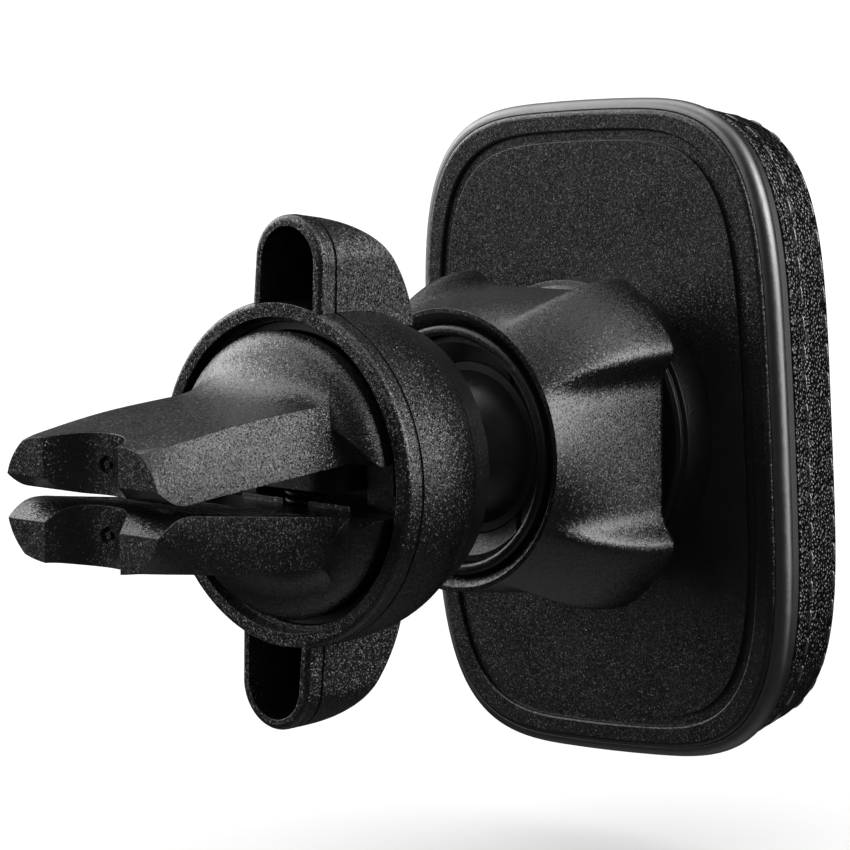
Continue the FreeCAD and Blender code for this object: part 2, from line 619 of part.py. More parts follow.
def rounded_dome():
    """Disc that fits inside the closing ring and fills the knob's mouth, its front shoulder rounded over."""
    shoulder = [V(radius, y, 0) for radius, y in DOME_SHOULDER]
    rest = Part.makePolygon([shoulder[-1], V(0, JAW_BASE_Y, 0), V(JAW_BASE_R, JAW_BASE_Y, 0), shoulder[0]])
    return Part.Face(Part.Wire([curve(shoulder)] + rest.Edges)).revolve(ORIGIN, Y_AXIS, 360)


def jaw_bulge(root_z):
    """Upper half of the dome: its front leans out from the inner side to the shoulder."""
    lean = [yz(JAW_ROOT_Y, root_z), yz(58.5, 4.4), yz(59.4, 7.0), yz(60.4, 10.5)]
    top = yz(lean[-1].y, JAW_CLEAR)
    rest = Part.makePolygon([lean[-1], top, yz(JAW_BASE_Y, JAW_CLEAR), yz(JAW_BASE_Y, root_z), lean[0]])
    side = across(Part.Wire([curve(lean)] + rest.Edges), -JAW_CLEAR, JAW_CLEAR)
    return rounded_dome().common(side)


def jaw_lug():
    """Block that runs back to the pin."""
    pad = box(-LUG_HALF_W, LUG_HALF_W, PIVOT_Y, JAW_BASE_Y + 1, PIVOT_Z - LUG_R, PIVOT_Z + LUG_R)
    return pad.fuse(rod(LUG_R, -LUG_HALF_W, LUG_HALF_W, axis=X_AXIS, at=yz(PIVOT_Y, PIVOT_Z)))


def pad_block(root_z, grow):
    """Space of the rubber pad in the gripping face."""
    y0 = 61.3 - grow
    y1 = 74.3 + grow
    z0 = grip_line(y0, root_z)
    z1 = grip_line(y1, root_z)
    thick = 0.9 + grow
    outline = Part.makePolygon([
        yz(y0, z0 - grow), yz(y1, z1 - grow), yz(y1, z1 + thick), yz(y0, z0 + thick), yz(y0, z0 - grow)])
    return across(outline, -7.5 - grow, 7.5 + grow)


def jaw(root_z):
    """An upper jaw: root_z is the height of its inner side at the root."""
    body = jaw_finger(root_z).fuse(jaw_bulge(root_z))
    crease = [e for e in body.Edges if e.BoundBox.YMin > KNOB_FRONT_Y and e.BoundBox.YMax < 62
              and e.BoundBox.ZMin > 7.0 and e.BoundBox.XLength > JAW_DISC_R]
    body = body.makeFillet(DOME_BLEND_R, crease).fuse(jaw_lug())
    body = body.cut(rod(NOTCH_R, -1, 20, axis=Z_AXIS, at=V(0, JAW_TIP_Y + NOTCH_OUT, 0)))
    body = body.cut(pad_block(root_z, FIT_GAP))
    body = body.cut(rod(PIN_R + RUN_GAP, -30, 30, axis=X_AXIS, at=yz(PIVOT_Y, PIVOT_Z)))
    body = body.cut(rod(SPRING_R + 0.5, 0, SPRING_TOP_Z, axis=Z_AXIS, at=V(0, SPRING_Y, 0)))
    mark_y = JAW_TIP_Y + NOTCH_OUT - NOTCH_R
    mark_at = V(0.4, 0, 3.1)
    mark = rod(0.8, mark_y - 0.35, mark_y + 0.35, at=mark_at).cut(rod(0.35, 0, 100, at=mark_at))
    return body.cut(mark)


def grip_pad(root_z):
    """Rubber pad with cross grooves."""
    pad = pad_block(root_z, 0)
    for i in range(6):
        y = 62.7 + 2.0 * i
        z = grip_line(y, root_z)
        pad = pad.cut(box(-10, 10, y, y + 0.8, z - 0.5, z + 0.25))
    return pad


def jaw_spring():
    turns_height = SPRING_TOP_Z - TONGUE_HALF_T - 2 * SPRING_WIRE_R - 2 * FIT_GAP
    helix = Part.makeHelix(turns_height / 4, turns_height, SPRING_R)
    section = Part.Wire(Part.makeCircle(SPRING_WIRE_R, V(SPRING_R, 0, 0), Y_AXIS))
    wire = Part.Wire(helix.Edges).makePipeShell([section], True, True)
    wire.translate(V(0, SPRING_Y, TONGUE_HALF_T + SPRING_WIRE_R + FIT_GAP))
    return wire


def flipped(shape):
    """The lower twin of an upper piece."""
    return shape.mirror(ORIGIN, Z_AXIS)


# --- write the parts ----------------------------------------------------------------------------
def turned_head(shape):
    shape = shape.copy()
    shape.rotate(ORIGIN, Y_AXIS, HEAD_SPIN)
    return shape


def all_parts():
    head = {
        "leather_cover": leather_cover(), "foam_pad": foam_pad(), "magnets": magnets(),
        "steel_yoke": steel_yoke(), "magnet_tray": magnet_tray(), "rear_shell": rear_shell(),
        "trim_ring": trim_ring(), "tray_screws": tray_screws(), "socket_screws": socket_screws(),
        "ball_socket": ball_socket(), "friction_pad": friction_pad(), "ball_liner": ball_liner(),
        "lock_nut": lock_nut(), "nut_clamp_ring": nut_clamp_ring()}
    parts = {name: turned_head(shape) for name, shape in head.items()}
    parts["ball_stud"] = ball_stud()
    parts["clip_body"] = clip_body()
    parts["wing_knob"] = wing_knob()
    parts["knob_rear_ring"] = knob_rear_ring()
    parts["knob_snap_ring"] = knob_snap_ring()
    parts["closing_ring"] = closing_ring()
    parts["upper_jaw"] = jaw(UPPER_ROOT_Z)
    parts["lower_jaw"] = flipped(jaw(LOWER_ROOT_Z))
    parts["upper_grip_pad"] = grip_pad(UPPER_ROOT_Z)
    parts["lower_grip_pad"] = flipped(grip_pad(LOWER_ROOT_Z))
    parts["upper_jaw_pin"] = jaw_pin()
    parts["lower_jaw_pin"] = flipped(jaw_pin())
    parts["upper_jaw_spring"] = jaw_spring()
    parts["lower_jaw_spring"] = flipped(jaw_spring())
    return parts


os.makedirs("parts", exist_ok=True)
for node, shape in all_parts().items():
    shape.exportStep("parts/" + node + ".step")
    print(node, len(shape.Solids), shape.isValid(), round(shape.Volume, 1))
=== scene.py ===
"""Looks of the magnetic vent phone mount: finishes, stitched leather cushion, pale studio."""

import math

import bpy
import numpy as np
from mathutils import Matrix, Vector


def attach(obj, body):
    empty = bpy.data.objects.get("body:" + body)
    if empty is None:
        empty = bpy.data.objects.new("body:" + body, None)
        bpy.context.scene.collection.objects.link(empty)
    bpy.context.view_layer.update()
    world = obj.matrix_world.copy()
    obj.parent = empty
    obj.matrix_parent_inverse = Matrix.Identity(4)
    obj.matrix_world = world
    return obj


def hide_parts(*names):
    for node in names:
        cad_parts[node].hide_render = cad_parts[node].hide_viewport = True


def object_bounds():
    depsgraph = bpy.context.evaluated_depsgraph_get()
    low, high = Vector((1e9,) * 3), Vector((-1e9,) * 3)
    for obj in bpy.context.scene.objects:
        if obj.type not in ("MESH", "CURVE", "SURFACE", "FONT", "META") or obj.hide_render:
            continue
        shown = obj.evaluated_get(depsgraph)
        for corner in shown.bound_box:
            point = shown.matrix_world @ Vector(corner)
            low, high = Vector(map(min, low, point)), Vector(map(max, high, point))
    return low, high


MM = 0.001
FLOOR_ROOM = 0.011          # metres between the object at rest and the floor
FLOOR_HALF = 4.0            # metres from the floor's middle to its edge

# --- leather cushion, in millimetres, as it lies before it is turned with the plate ------------------
HEAD_SPIN = 3.2             # degrees the head is turned about +Y
HALF_W = 22.1
HALF_H = 31.9
POWER = 4.1                 # of the superellipse that is the plate's outline
REAR_Y = 8.4
REAR_PROUD = 0.45           # how far the side stands outside the outline at its rear edge
FRONT_PROUD = -0.9          # and where its slope would meet the front face
SIDE_SLOPE = (REAR_PROUD - FRONT_PROUD) / REAR_Y
SIDE_STEP = 0.2
REAR_TUCK = ((0.0, 0.35), (0.05, 0.14), (0.2, 0.04))  # (forward, inward) from the rear edge
EDGE_R = 1.8                # round between the side and the front face
EDGE_STEPS = 12
FRONT_CROWN = 0.22          # how far the middle of the front face stands proud
CROWN_POWER = 6
CAVITY_PROUD = -2.05
CAVITY_Y = 1.2
RING_STEPS = 90             # outline points are eight times this
OUTLINE_SAMPLES = 20000
SEAM_SAMPLES = 8000

# --- seams and their thread, in millimetres ----------------------------------------------------------
STITCH_ROWS = (5.95, 1.35)  # heights of the two seams, in Y
STITCH_PITCH = 2.9
STITCH_LENGTH = 2.15
SEAM_REACH = 0.42           # how far the pull of a seam is felt along Y
SEAM_PULL = 0.07
HOLE_PULL = 0.07            # on top of the seam's pull, at each needle hole
HOLE_POWER = 3
SWELL_HEIGHT = 0.05         # of the leather on both sides of a seam
SWELLS = ((1.3, 0.9), (-1.1, 0.8))  # (distance from the seam, reach)
THREAD_R = 0.19
THREAD_SINK = 0.08          # depth of the thread's middle line under the leather's face
THREAD_DIP = 0.2            # how much deeper the thread's ends go
THREAD_STEPS = 8
THREAD_SIDES = 8
THREAD_FLATNESS = 0.9
THREAD_END = 0.12           # share of the section that is left at the thread's ends

# --- camera ----------------------------------------------------------------------------------------
CAMERA_AZIMUTH = 42.891     # degrees
CAMERA_ELEVATION = 7.009    # degrees
CAMERA_ROLL = -0.489        # degrees
CAMERA_DISTANCE = 355.7     # millimetres from the target
CAMERA_TARGET = (22.05, 13.27, -1.20)
CAMERA_LENS = 143.8         # millimetres, as the sensor's width
CAMERA_SENSOR = 36
CAMERA_NEAR = 0.01          # metres

# --- light and finish --------------------------------------------------------------------------------
PALE_STRENGTH = 1.4         # of the white surroundings, as the eye and the floor see them
GRAIN = 0.10                # millimetres across one facet of the plastic's texture
PLASTIC_EDGE = 0.12         # millimetres of softening at the plastic's edges


# --- node helpers ------------------------------------------------------------------------------------
class Tree:
    """A node tree, with short calls to add and join nodes."""

    def __init__(self, tree):
        self.tree = tree
        self.tree.nodes.clear()

    def add(self, kind, **settings):
        node = self.tree.nodes.new(kind)
        for key, value in settings.items():
            setattr(node, key, value)
        return node

    def join(self, source, output, target, socket):
        self.tree.links.new(source.outputs[output], target.inputs[socket])


class Nodes(Tree):
    """A material made from one principled shader; lengths are in millimetres."""

    def __init__(self, name):
        self.material = bpy.data.materials.new(name)
        self.material.use_nodes = True
        super().__init__(self.material.node_tree)
        output = self.add("ShaderNodeOutputMaterial")
        self.shader = self.add("ShaderNodeBsdfPrincipled")
        self.join(self.shader, "BSDF", output, "Surface")
        spot = self.add("ShaderNodeTexCoord")
        self.place = self.add("ShaderNodeVectorMath", operation="SCALE")
        self.join(spot, "Object", self.place, 0)
        self.place.inputs["Scale"].default_value = 1 / MM

    def put(self, socket, value):
        self.shader.inputs[socket].default_value = value

    def noise(self, size, detail=2.0, distortion=0.0, rough=0.5):
        """Noise whose features are about `size` millimetres."""
        node = self.add("ShaderNodeTexNoise")
        self.join(self.place, "Vector", node, "Vector")
        node.inputs["Scale"].default_value = 1 / size
        node.inputs["Detail"].default_value = detail
        node.inputs["Distortion"].default_value = distortion
        node.inputs["Roughness"].default_value = rough
        return node

    def cells(self, size, feature="F1", warp=None):
        """Cells about `size` millimetres across."""
        node = self.add("ShaderNodeTexVoronoi", feature=feature)
        self.join(warp or self.place, "Vector", node, "Vector")
        node.inputs["Scale"].default_value = 1 / size
        return node

    def warped(self, size, amount):
        """The place, pushed about by noise."""
        node = self.add("ShaderNodeVectorMath", operation="MULTIPLY_ADD")
        self.join(self.noise(size), "Color", node, 0)
        node.inputs[1].default_value = (amount, amount, amount)
        self.join(self.place, "Vector", node, 2)
        return node

    def remap(self, source, output, low, high, out_low, out_high):
        node = self.add("ShaderNodeMapRange")
        self.join(source, output, node, "Value")
        node.inputs["From Min"].default_value = low
        node.inputs["From Max"].default_value = high
        node.inputs["To Min"].default_value = out_low
        node.inputs["To Max"].default_value = out_high
        return node

    def mixed(self, factor, output, first, second):
        node = self.add("ShaderNodeMix", data_type="RGBA")
        self.join(factor, output, node, "Factor")
        node.inputs["A"].default_value = (*first, 1)
        node.inputs["B"].default_value = (*second, 1)
        return node

    def bump(self, source, output, depth, below=None):
        """Relief of `depth` millimetres on top of the normal `below`."""
        node = self.add("ShaderNodeBump")
        self.join(source, output, node, "Height")
        node.inputs["Strength"].default_value = 1.0
        node.inputs["Distance"].default_value = depth * MM
        if below is not None:
            self.join(below, "Normal", node, "Normal")
        return node

    def product(self, first, second):
        node = self.add("ShaderNodeVectorMath", operation="MULTIPLY")
        self.join(first, "Vector", node, 0)
        self.join(second, "Vector", node, 1)
        return node

    def faceted(self, below, size, tilt):
        """The normal `below`, leant in every grain: most grains hardly, a few by up to `tilt`."""
        lean = self.add("ShaderNodeVectorMath", operation="MULTIPLY_ADD")
        self.join(self.cells(size), "Color", lean, 0)
        lean.inputs[1].default_value = (2, 2, 2)
        lean.inputs[2].default_value = (-1, -1, -1)
        cube = self.product(self.product(lean, lean), lean)
        total = self.add("ShaderNodeVectorMath", operation="MULTIPLY_ADD")
        self.join(cube, "Vector", total, 0)
        total.inputs[1].default_value = (tilt, tilt, tilt)
        self.join(below, "Normal", total, 2)
        unit = self.add("ShaderNodeVectorMath", operation="NORMALIZE")
        self.join(total, "Vector", unit, 0)
        return unit

    def soft_edges(self, radius):
        """The normal, rounded over at edges."""
        node = self.add("ShaderNodeBevel", samples=4)
        node.inputs["Radius"].default_value = radius * MM
        return node

    def normal(self, node):
        self.join(node, "Normal", self.shader, "Normal")


def grey(value, warmth=0.0):
    """Colour of even brightness, a little towards red where it is warm."""
    return (value * (1 + warmth), value, value * (1 - warmth))


# --- finishes ----------------------------------------------------------------------------------------
def moulded_plastic(name, tone, roughness, tilt):
    """Black moulded plastic with spark-eroded texture: tiny tilted facets that glitter in the sheen."""
    m = Nodes(name)
    cloud = m.noise(6.0, 3.0)
    worn = m.remap(cloud, "Fac", 0.35, 0.65, 0, 1)
    tint = m.mixed(worn, "Result", grey(tone * 0.8), grey(tone * 1.2))
    m.join(tint, "Result", m.shader, "Base Color")
    rubbed = m.remap(cloud, "Fac", 0.3, 0.7, roughness - 0.03, roughness + 0.04)
    m.join(rubbed, "Result", m.shader, "Roughness")
    facets = m.faceted(m.soft_edges(PLASTIC_EDGE), GRAIN, tilt)
    m.join(facets, "Vector", m.shader, "Normal")
    m.put("IOR", 1.5)
    return m.material


def smooth_plastic(name, tone, roughness, ior=1.5):
    """Satin plastic: only faint flow marks and a fine orange peel."""
    m = Nodes(name)
    m.put("Base Color", (*grey(tone), 1))
    flow = m.noise(2.5, 4.0, 0.8)
    streaks = m.remap(flow, "Fac", 0.3, 0.7, roughness - 0.03, roughness + 0.05)
    m.join(streaks, "Result", m.shader, "Roughness")
    orange_peel = m.bump(m.noise(0.9, 1.0), "Fac", 0.004, m.soft_edges(0.1))
    m.normal(m.bump(m.noise(0.12, 2.0), "Fac", 0.0012, orange_peel))
    m.put("IOR", ior)
    return m.material


def pebbled_leather(name):
    """Black full-grain leather: rounded pebbles between creases, their crowns rubbed shiny; the creases
    are painted darker as shade.
    """
    m = Nodes(name)
    warp = m.warped(0.9, 0.12)
    pebble = m.cells(0.42, "F1", warp)
    crease = m.cells(0.42, "DISTANCE_TO_EDGE", warp)
    # painted shade: the colour is darker in the creases between the pebbles and lighter on the pebbles'
    # crowns
    painted_crease_shade = m.remap(crease, "Distance", 0.0, 0.12, 0, 1)
    tint = m.mixed(painted_crease_shade, "Result", grey(0.001), grey(0.003))
    m.join(tint, "Result", m.shader, "Base Color")
    rubbed = m.remap(pebble, "Distance", 0.1, 0.6, 0.06, 0.22)
    m.join(rubbed, "Result", m.shader, "Roughness")
    dome = m.bump(m.remap(pebble, "Distance", 0.0, 0.7, 1, 0), "Result", 0.15)
    m.normal(m.bump(m.noise(0.2, 2.0, 0.2, 0.5), "Fac", 0.01, dome))
    m.put("IOR", 1.5)
    return m.material


def waxed_thread(name):
    """Black bonded thread: twisted plies with a waxy sheen, painted darker in the grooves between the
    plies as shade.
    """
    m = Nodes(name)
    ply_and_groove_shade = m.add("ShaderNodeTexWave", wave_type="BANDS", bands_direction="DIAGONAL")
    m.join(m.place, "Vector", ply_and_groove_shade, "Vector")
    ply_and_groove_shade.inputs["Scale"].default_value = 1.6
    ply_and_groove_shade.inputs["Distortion"].default_value = 0.6
    # painted shade: the colour follows the relief of the plies, darker in the grooves and lighter on the
    # ridges
    tint = m.mixed(ply_and_groove_shade, "Fac", grey(0.01), grey(0.04))
    m.join(tint, "Result", m.shader, "Base Color")
    m.join(m.remap(ply_and_groove_shade, "Fac", 0, 1, 0.3, 0.16), "Result", m.shader, "Roughness")
    m.normal(m.bump(ply_and_groove_shade, "Fac", 0.015))
    m.put("IOR", 1.9)
    return m.material


def satin_coating(name):
    """Black coated metal ball: smooth, with rub marks from the liner."""
    m = Nodes(name)
    m.put("Base Color", (*grey(0.004), 1))
    rub = m.noise(1.6, 4.0, 1.5)
    m.join(m.remap(rub, "Fac", 0.35, 0.65, 0.3, 0.46), "Result", m.shader, "Roughness")
    m.normal(m.bump(m.noise(0.14, 2.0), "Fac", 0.006, m.soft_edges(0.15)))
    m.put("IOR", 1.55)
    return m.material


def turned_steel(name, tone, roughness):
    """Bare metal with fine drawing lines and tarnish."""
    m = Nodes(name)
    m.put("Metallic", 1.0)
    tarnish = m.noise(1.2, 4.0, 0.5)
    patches = m.remap(tarnish, "Fac", 0.35, 0.65, 0, 1)
    tint = m.mixed(patches, "Result", grey(tone * 0.8, 0.02), grey(tone))
    m.join(tint, "Result", m.shader, "Base Color")
    lines = m.noise(0.09, 2.0, 0.0, 0.7)
    drawn = m.remap(lines, "Fac", 0.3, 0.7, roughness - 0.08, roughness + 0.1)
    m.join(drawn, "Result", m.shader, "Roughness")
    m.normal(m.bump(lines, "Fac", 0.003, m.soft_edges(0.08)))
    return m.material


def soft_rubber(name, tone):
    """Matte rubber with a dusty bloom and a fine pebble."""
    m = Nodes(name)
    bloom = m.noise(1.8, 4.0, 0.3)
    dusty = m.remap(bloom, "Fac", 0.35, 0.7, 0, 1)
    tint = m.mixed(dusty, "Result", grey(tone), grey(tone * 2.0, 0.03))
    m.join(tint, "Result", m.shader, "Base Color")
    m.join(m.remap(bloom, "Fac", 0.3, 0.7, 0.62, 0.8), "Result", m.shader, "Roughness")
    m.normal(m.bump(m.noise(0.25, 3.0), "Fac", 0.02, m.soft_edges(0.1)))
    return m.material


def open_foam(name):
    """Dark foam: open cells with soft sides, the hollows of the cells painted darker as shade."""
    m = Nodes(name)
    cell = m.cells(0.45, "F1", m.warped(0.8, 0.25))
    # painted shade: the colour is darker in the sunken middle of each cell and lighter on the raised rims
    # between cells
    painted_pit_shade = m.remap(cell, "Distance", 0.1, 0.6, 0, 1)
    tint = m.mixed(painted_pit_shade, "Result", grey(0.03), grey(0.12, 0.02))
    m.join(tint, "Result", m.shader, "Base Color")
    m.put("Roughness", 0.85)
    m.normal(m.bump(cell, "Distance", 0.12))
    return m.material


def nylon(name):
    """Black nylon: faintly mottled, waxy."""
    m = Nodes(name)
    cloud = m.noise(2.2, 3.0)
    tint = m.mixed(cloud, "Fac", grey(0.003), grey(0.005))
    m.join(tint, "Result", m.shader, "Base Color")
    m.join(m.remap(cloud, "Fac", 0.3, 0.7, 0.36, 0.5), "Result", m.shader, "Roughness")
    m.normal(m.bump(m.noise(0.3, 2.0), "Fac", 0.006, m.soft_edges(0.08)))
    return m.material


def paint_nodes():
    """Gives every CAD node its finish."""
    jaw = moulded_plastic("jaw_texture", tone=0.003, roughness=0.28, tilt=0.30)
    socket = moulded_plastic("socket_texture", tone=0.002, roughness=0.34, tilt=0.14)
    steel = turned_steel("bright_steel", tone=0.55, roughness=0.28)
    dark_wire = turned_steel("phosphated_wire", tone=0.06, roughness=0.4)
    grip_rubber = soft_rubber("grip_rubber", tone=0.009)
    finishes = {
        "rear_shell": moulded_plastic("shell_texture", tone=0.003, roughness=0.30, tilt=0.26),
        "upper_jaw": jaw,
        "lower_jaw": jaw,
        "wing_knob": moulded_plastic("knob_texture", tone=0.003, roughness=0.28, tilt=0.42),
        "knob_rear_ring": socket,
        "lock_nut": moulded_plastic("nut_texture", tone=0.003, roughness=0.28, tilt=0.24),
        "nut_clamp_ring": socket,
        "ball_socket": socket,
        "clip_body": socket,
        "trim_ring": smooth_plastic("bead_gloss", tone=0.003, roughness=0.38, ior=2.1),
        "magnet_tray": smooth_plastic("band_satin", tone=0.004, roughness=0.42),
        "closing_ring": smooth_plastic("inner_satin", tone=0.003, roughness=0.34),
        "ball_stud": satin_coating("ball_coating"),
        "ball_liner": nylon("liner_nylon"),
        "friction_pad": soft_rubber("pad_rubber", tone=0.012),
        "upper_grip_pad": grip_rubber,
        "lower_grip_pad": grip_rubber,
        "foam_pad": open_foam("foam"),
        "magnets": turned_steel("nickel_plate", tone=0.66, roughness=0.2),
        "steel_yoke": steel,
        "tray_screws": steel,
        "socket_screws": steel,
        "knob_snap_ring": steel,
        "upper_jaw_pin": steel,
        "lower_jaw_pin": steel,
        "upper_jaw_spring": dark_wire,
        "lower_jaw_spring": dark_wire,
    }
    for node, material in finishes.items():
        dress(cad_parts[node], material)


def dress(obj, material):
    obj.data.materials.clear()
    obj.data.materials.append(material)


# --- leather cushion ---------------------------------------------------------------------------------
def outline_angles():
    """Outline parameters, evenly spaced along each of the four sides between the corners."""
    fine = np.linspace(0, 2 * math.pi, OUTLINE_SAMPLES + 1)
    x, z = superellipse(fine, 0.0)
    run = np.concatenate([[0], np.cumsum(np.hypot(np.diff(x), np.diff(z)))])
    angles = []
    for side in range(4):
        start = math.pi / 4 + side * math.pi / 2
        grid = np.interp(np.array([start, start + math.pi / 2]) % (2 * math.pi), fine, run)
        if grid[1] < grid[0]:
            grid[1] += run[-1]
        marks = np.linspace(grid[0], grid[1], 2 * RING_STEPS, endpoint=False)
        angles.append(np.interp(marks % run[-1], run, fine))
    return np.concatenate(angles)


def superellipse(angles, proud):
    """Points of the plate's outline, moved outwards by `proud`."""
    c = np.cos(angles)
    s = np.sin(angles)
    x = np.sign(c) * np.abs(c) ** (2 / POWER) * (HALF_W + proud)
    z = np.sign(s) * np.abs(s) ** (2 / POWER) * (HALF_H + proud)
    return x, z


def side_profile():
    """(y, proud) down the cushion's side, from the tucked rear edge round to the front face."""
    points = [(REAR_Y - forward, REAR_PROUD - inward) for forward, inward in REAR_TUCK]
    for y in np.arange(REAR_Y - 2 * SIDE_STEP, EDGE_R, -SIDE_STEP):
        points.append((y, FRONT_PROUD + SIDE_SLOPE * y))
    edge_proud = FRONT_PROUD + SIDE_SLOPE * EDGE_R
    for t in np.linspace(0, math.pi / 2, EDGE_STEPS + 1):
        points.append((EDGE_R * (1 - math.sin(t)), edge_proud - EDGE_R * (1 - math.cos(t))))
    return points


def run_along(angles):
    """Distance along the outline at each parameter, and the whole length."""
    x, z = superellipse(angles, 0.0)
    steps = np.hypot(np.roll(x, -1) - x, np.roll(z, -1) - z)
    return np.concatenate([[0], np.cumsum(steps)[:-1]]), steps.sum()


def seam_depth(y, run, total):
    """How far the leather is pulled in at height y by the two seams, deepest at each needle hole."""
    count = round(total / STITCH_PITCH)
    hole = 0.5 + 0.5 * np.cos(2 * math.pi * count * run / total)
    depth = np.zeros_like(run)
    for row in STITCH_ROWS:
        depth += np.exp(-((y - row) / SEAM_REACH) ** 2) * (SEAM_PULL + HOLE_PULL * hole ** HOLE_POWER)
        for distance, reach in SWELLS:
            depth -= np.exp(-((y - row - distance) / reach) ** 2) * SWELL_HEIGHT
    return depth


def cushion_mesh():
    """Points and faces of the cushion: hollow behind, seams down the side, a crowned front."""
    angles = outline_angles()
    run, total = run_along(angles)
    profile = side_profile()
    rings = [ring_points(angles, CAVITY_Y, CAVITY_PROUD), ring_points(angles, REAR_Y, CAVITY_PROUD)]
    for i, (y, proud) in enumerate(profile):
        before = profile[max(i - 1, 0)]
        after = profile[min(i + 1, len(profile) - 1)]
        dy = before[0] - after[0]
        dp = before[1] - after[1]
        length = math.hypot(dy, dp)
        pull = seam_depth(y, run, total)
        x, z = superellipse(angles, proud - pull * dy / length)
        rings.append(np.stack([x, y + pull * dp / length, z], 1))
    count = len(angles)
    points = np.concatenate(rings)
    faces = []
    for r in range(len(rings) - 1):
        for i in range(count):
            j = (i + 1) % count
            faces.append((r * count + i, (r + 1) * count + i, (r + 1) * count + j, r * count + j))
    points, faces = add_front(points, faces, rings[-1])
    return add_cavity_floor(points, faces, count)


def ring_points(angles, y, proud):
    x, z = superellipse(angles, proud)
    return np.stack([x, np.full_like(x, y), z], 1)


def add_front(points, faces, edge):
    """Fills the front with a square grid bent to the outline; its centre stands a little proud."""
    n = RING_STEPS
    last = len(points) - len(edge)
    index = {}
    extra = []
    for i in range(-n, n + 1):
        for j in range(-n, n + 1):
            k = max(abs(i), abs(j))
            place = square_place(i, j, k)
            if k == n:
                index[i, j] = last + place
                continue
            share = k / n
            exact = place * n / max(k, 1)
            low = int(exact)
            part = exact - low
            spot = edge[low % len(edge)] * (1 - part) + edge[(low + 1) % len(edge)] * part
            y = edge[0][1] - FRONT_CROWN * (1 - share ** CROWN_POWER)
            index[i, j] = len(points) + len(extra)
            extra.append((spot[0] * share, y, spot[2] * share))
    for i in range(-n, n):
        for j in range(-n, n):
            faces.append((index[i, j], index[i + 1, j], index[i + 1, j + 1], index[i, j + 1]))
    return np.concatenate([points, np.array(extra)]), faces


def square_place(i, j, k):
    """Index of grid point (i, j) along its square ring of 8k points, from the corner (k, k)."""
    if k == 0:
        return 0
    if j == k and i > -k:
        return k - i
    if i == -k and j > -k:
        return 3 * k - j
    if j == -k and i < k:
        return 5 * k + i
    return 7 * k + j


def add_cavity_floor(points, faces, count):
    """Closes the hollow behind the front with a fan."""
    centre = len(points)
    points = np.concatenate([points, [[0, CAVITY_Y, 0]]])
    for i in range(count):
        faces.append((centre, i, (i + 1) % count))
    return points, faces


def turned_head(points):
    """Points turned with the plate, which stands a little askew about the ball's axis."""
    angle = math.radians(HEAD_SPIN)
    c = math.cos(angle)
    s = math.sin(angle)
    x = points[:, 0] * c + points[:, 2] * s
    z = -points[:, 0] * s + points[:, 2] * c
    return np.stack([x, points[:, 1], z], 1)


def new_object(name, points, faces, material):
    mesh = bpy.data.meshes.new(name)
    mesh.from_pydata((turned_head(points) * MM).tolist(), [], faces)
    mesh.validate()
    mesh.polygons.foreach_set("use_smooth", [True] * len(mesh.polygons))
    obj = bpy.data.objects.new(name, mesh)
    bpy.context.scene.collection.objects.link(obj)
    obj.data.materials.append(material)
    return obj


def leather_cushion():
    points, faces = cushion_mesh()
    cushion = new_object("leather_cushion", points, faces, pebbled_leather("pebbled_leather"))
    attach(cushion, "head")
    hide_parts("leather_cover")


def side_point(row_y):
    """Proud and outward (proud, y) direction of the cushion's side at height row_y."""
    if row_y > EDGE_R:
        length = math.hypot(1, SIDE_SLOPE)
        return FRONT_PROUD + SIDE_SLOPE * row_y, (1 / length, -SIDE_SLOPE / length)
    edge_proud = FRONT_PROUD + SIDE_SLOPE * EDGE_R
    t = math.asin(1 - row_y / EDGE_R)
    return edge_proud - EDGE_R * (1 - math.cos(t)), (math.cos(t), -math.sin(t))


def stitches():
    """One short bowed thread per pitch, lying in each seam."""
    fine = np.linspace(0, 2 * math.pi, SEAM_SAMPLES + 1)[:-1]
    run, total = run_along(fine)
    count = round(total / STITCH_PITCH)
    points = []
    faces = []
    for row in STITCH_ROWS:
        proud, out = side_point(row)
        x, z = superellipse(fine, proud)
        outline = np.stack([x, np.full_like(x, row), z], 1)
        for k in range(count):
            middle = (k + 0.5) * total / count
            ends = np.linspace(-0.5, 0.5, THREAD_STEPS + 1)
            at = np.interp((middle + ends * STITCH_LENGTH) % total, run, np.arange(len(fine)))
            path = [thread_point(outline, int(round(where)), share, out) for share, where in zip(ends, at)]
            add_thread(points, faces, path)
    thread = new_object("leather_stitching", np.array(points), faces, waxed_thread("waxed_thread"))
    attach(thread, "head")


def thread_point(outline, i, share, out):
    """(centre, along, outward) of a thread at outline point i; share is -0.5 to 0.5 along it."""
    out_p, out_y = out
    here = outline[i % len(outline)]
    there = outline[(i % len(outline) + 1) % len(outline)]
    along = (there - here) / np.linalg.norm(there - here)
    outward = np.array([along[2], 0, -along[0]]) * out_p + np.array([0, out_y, 0])
    depth = THREAD_SINK + THREAD_DIP * (2 * share) ** 4
    return here - outward * depth, along, outward


def add_thread(points, faces, path):
    """Tube with domed ends along the path."""
    start = len(points)
    for n, (centre, along, outward) in enumerate(path):
        share = 2 * n / (len(path) - 1) - 1
        radius = THREAD_R * math.sqrt(max(THREAD_END, 1 - abs(share) ** 5))
        side = np.cross(along, outward)
        for a in range(THREAD_SIDES):
            angle = 2 * math.pi * a / THREAD_SIDES
            up = math.cos(angle) * outward * THREAD_FLATNESS
            points.append(centre + radius * (up + math.sin(angle) * side))
    for n in range(len(path) - 1):
        for a in range(THREAD_SIDES):
            b = (a + 1) % THREAD_SIDES
            low = start + n * THREAD_SIDES
            faces.append((low + a, low + THREAD_SIDES + a, low + THREAD_SIDES + b, low + b))
    last = start + (len(path) - 1) * THREAD_SIDES
    faces.append(tuple(start + a for a in range(THREAD_SIDES)))
    faces.append(tuple(last + a for a in reversed(range(THREAD_SIDES))))


